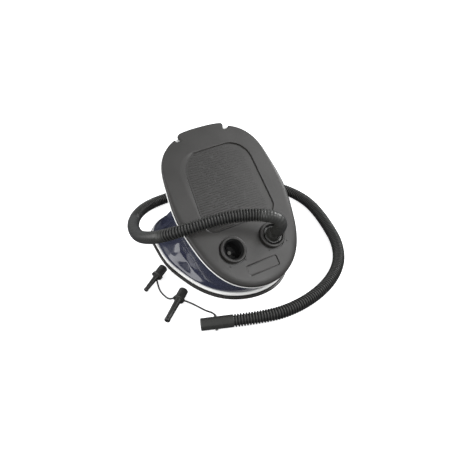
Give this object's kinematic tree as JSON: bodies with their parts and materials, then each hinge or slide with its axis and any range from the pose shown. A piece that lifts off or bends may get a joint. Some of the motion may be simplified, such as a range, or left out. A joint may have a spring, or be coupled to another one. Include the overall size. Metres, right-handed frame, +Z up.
{
  "type": "bellows foot pump",
  "caption": "Hinged bellows foot pump with oval plates, bayonet inflate and deflate ports, corrugated hose and tethered valve adapters.",
  "frame": {"origin": "centre of the base plate's oval, on the floor it stands on", "axes": "+Z up, +Y from the hinge and ports towards the foot end that opens, +X to the right seen from the hinge end"},
  "size_m": [0.4263, 0.4412, 0.2343],
  "materials": {
    "charcoal_pp": "moulded, fine satin grain",
    "white_pp": "moulded, smooth",
    "navy_pvc": "glossy coated film",
    "black_pe": "blow-moulded corrugated",
    "black_abs": "moulded, satin",
    "black_rubber": "moulded, matt",
    "natural_nylon": "moulded, natural",
    "spring_steel": "oiled wire",
    "zinc_steel": "zinc plated"
  },
  "bodies": {
    "base": {"base_plate": "charcoal_pp", "base_clamp_ring": "white_pp", "lower_hinge_bracket": "charcoal_pp", "lower_hinge_screws": "zinc_steel", "hinge_pin": "zinc_steel", "lower_spring_seat": "charcoal_pp", "return_spring": "spring_steel", "bellows": "navy_pvc", "hose": "black_pe", "nozzle": "black_abs", "large_adapter": "black_abs", "small_adapter": "black_abs", "nozzle_tether": "black_abs", "adapter_tether": "black_abs"},
    "treadle": {"treadle_plate": "charcoal_pp", "treadle_clamp_ring": "white_pp", "upper_hinge_bracket": "charcoal_pp", "upper_hinge_screws": "zinc_steel", "upper_spring_seat": "charcoal_pp", "deflate_port": "charcoal_pp", "deflate_port_gasket": "black_rubber", "deflate_valve_stud": "natural_nylon", "inflate_port": "charcoal_pp", "inflate_port_gasket": "black_rubber", "inflate_valve_stud": "natural_nylon"},
    "deflate_valve": {"deflate_valve_disc": "black_rubber"},
    "inflate_valve": {"inflate_valve_disc": "black_rubber"},
    "connector": {"hose_connector": "black_abs", "connector_oring": "black_rubber"}
  },
  "joints": [
    {"name": "treadle_hinge", "type": "hinge", "parent": "base", "child": "treadle", "pos_m": [0, -0.138, 0.02], "axis": [1, 0, 0], "range_deg": [-38, 0], "stiffness_Nm_per_rad": 10, "springref_deg": 20.05, "deforming": ["bellows", "return_spring", "hose"]},
    {"name": "deflate_valve_lift", "type": "slide", "parent": "treadle", "child": "deflate_valve", "axis": [0, 0.6374, -0.7705], "range_m": [0, 0.0025], "stiffness_N_per_m": 10, "springref_m": -0.0015},
    {"name": "inflate_valve_lift", "type": "slide", "parent": "treadle", "child": "inflate_valve", "axis": [0, -0.6374, 0.7705], "range_m": [0, 0.0025], "stiffness_N_per_m": 10, "springref_m": -0.0015},
    {"name": "connector_twist", "type": "hinge", "parent": "treadle", "child": "connector", "pos_m": [0.04, -0.11196, 0.08814], "axis": [0, -0.6374, 0.7705], "range_deg": [0, 60]}
  ]
}
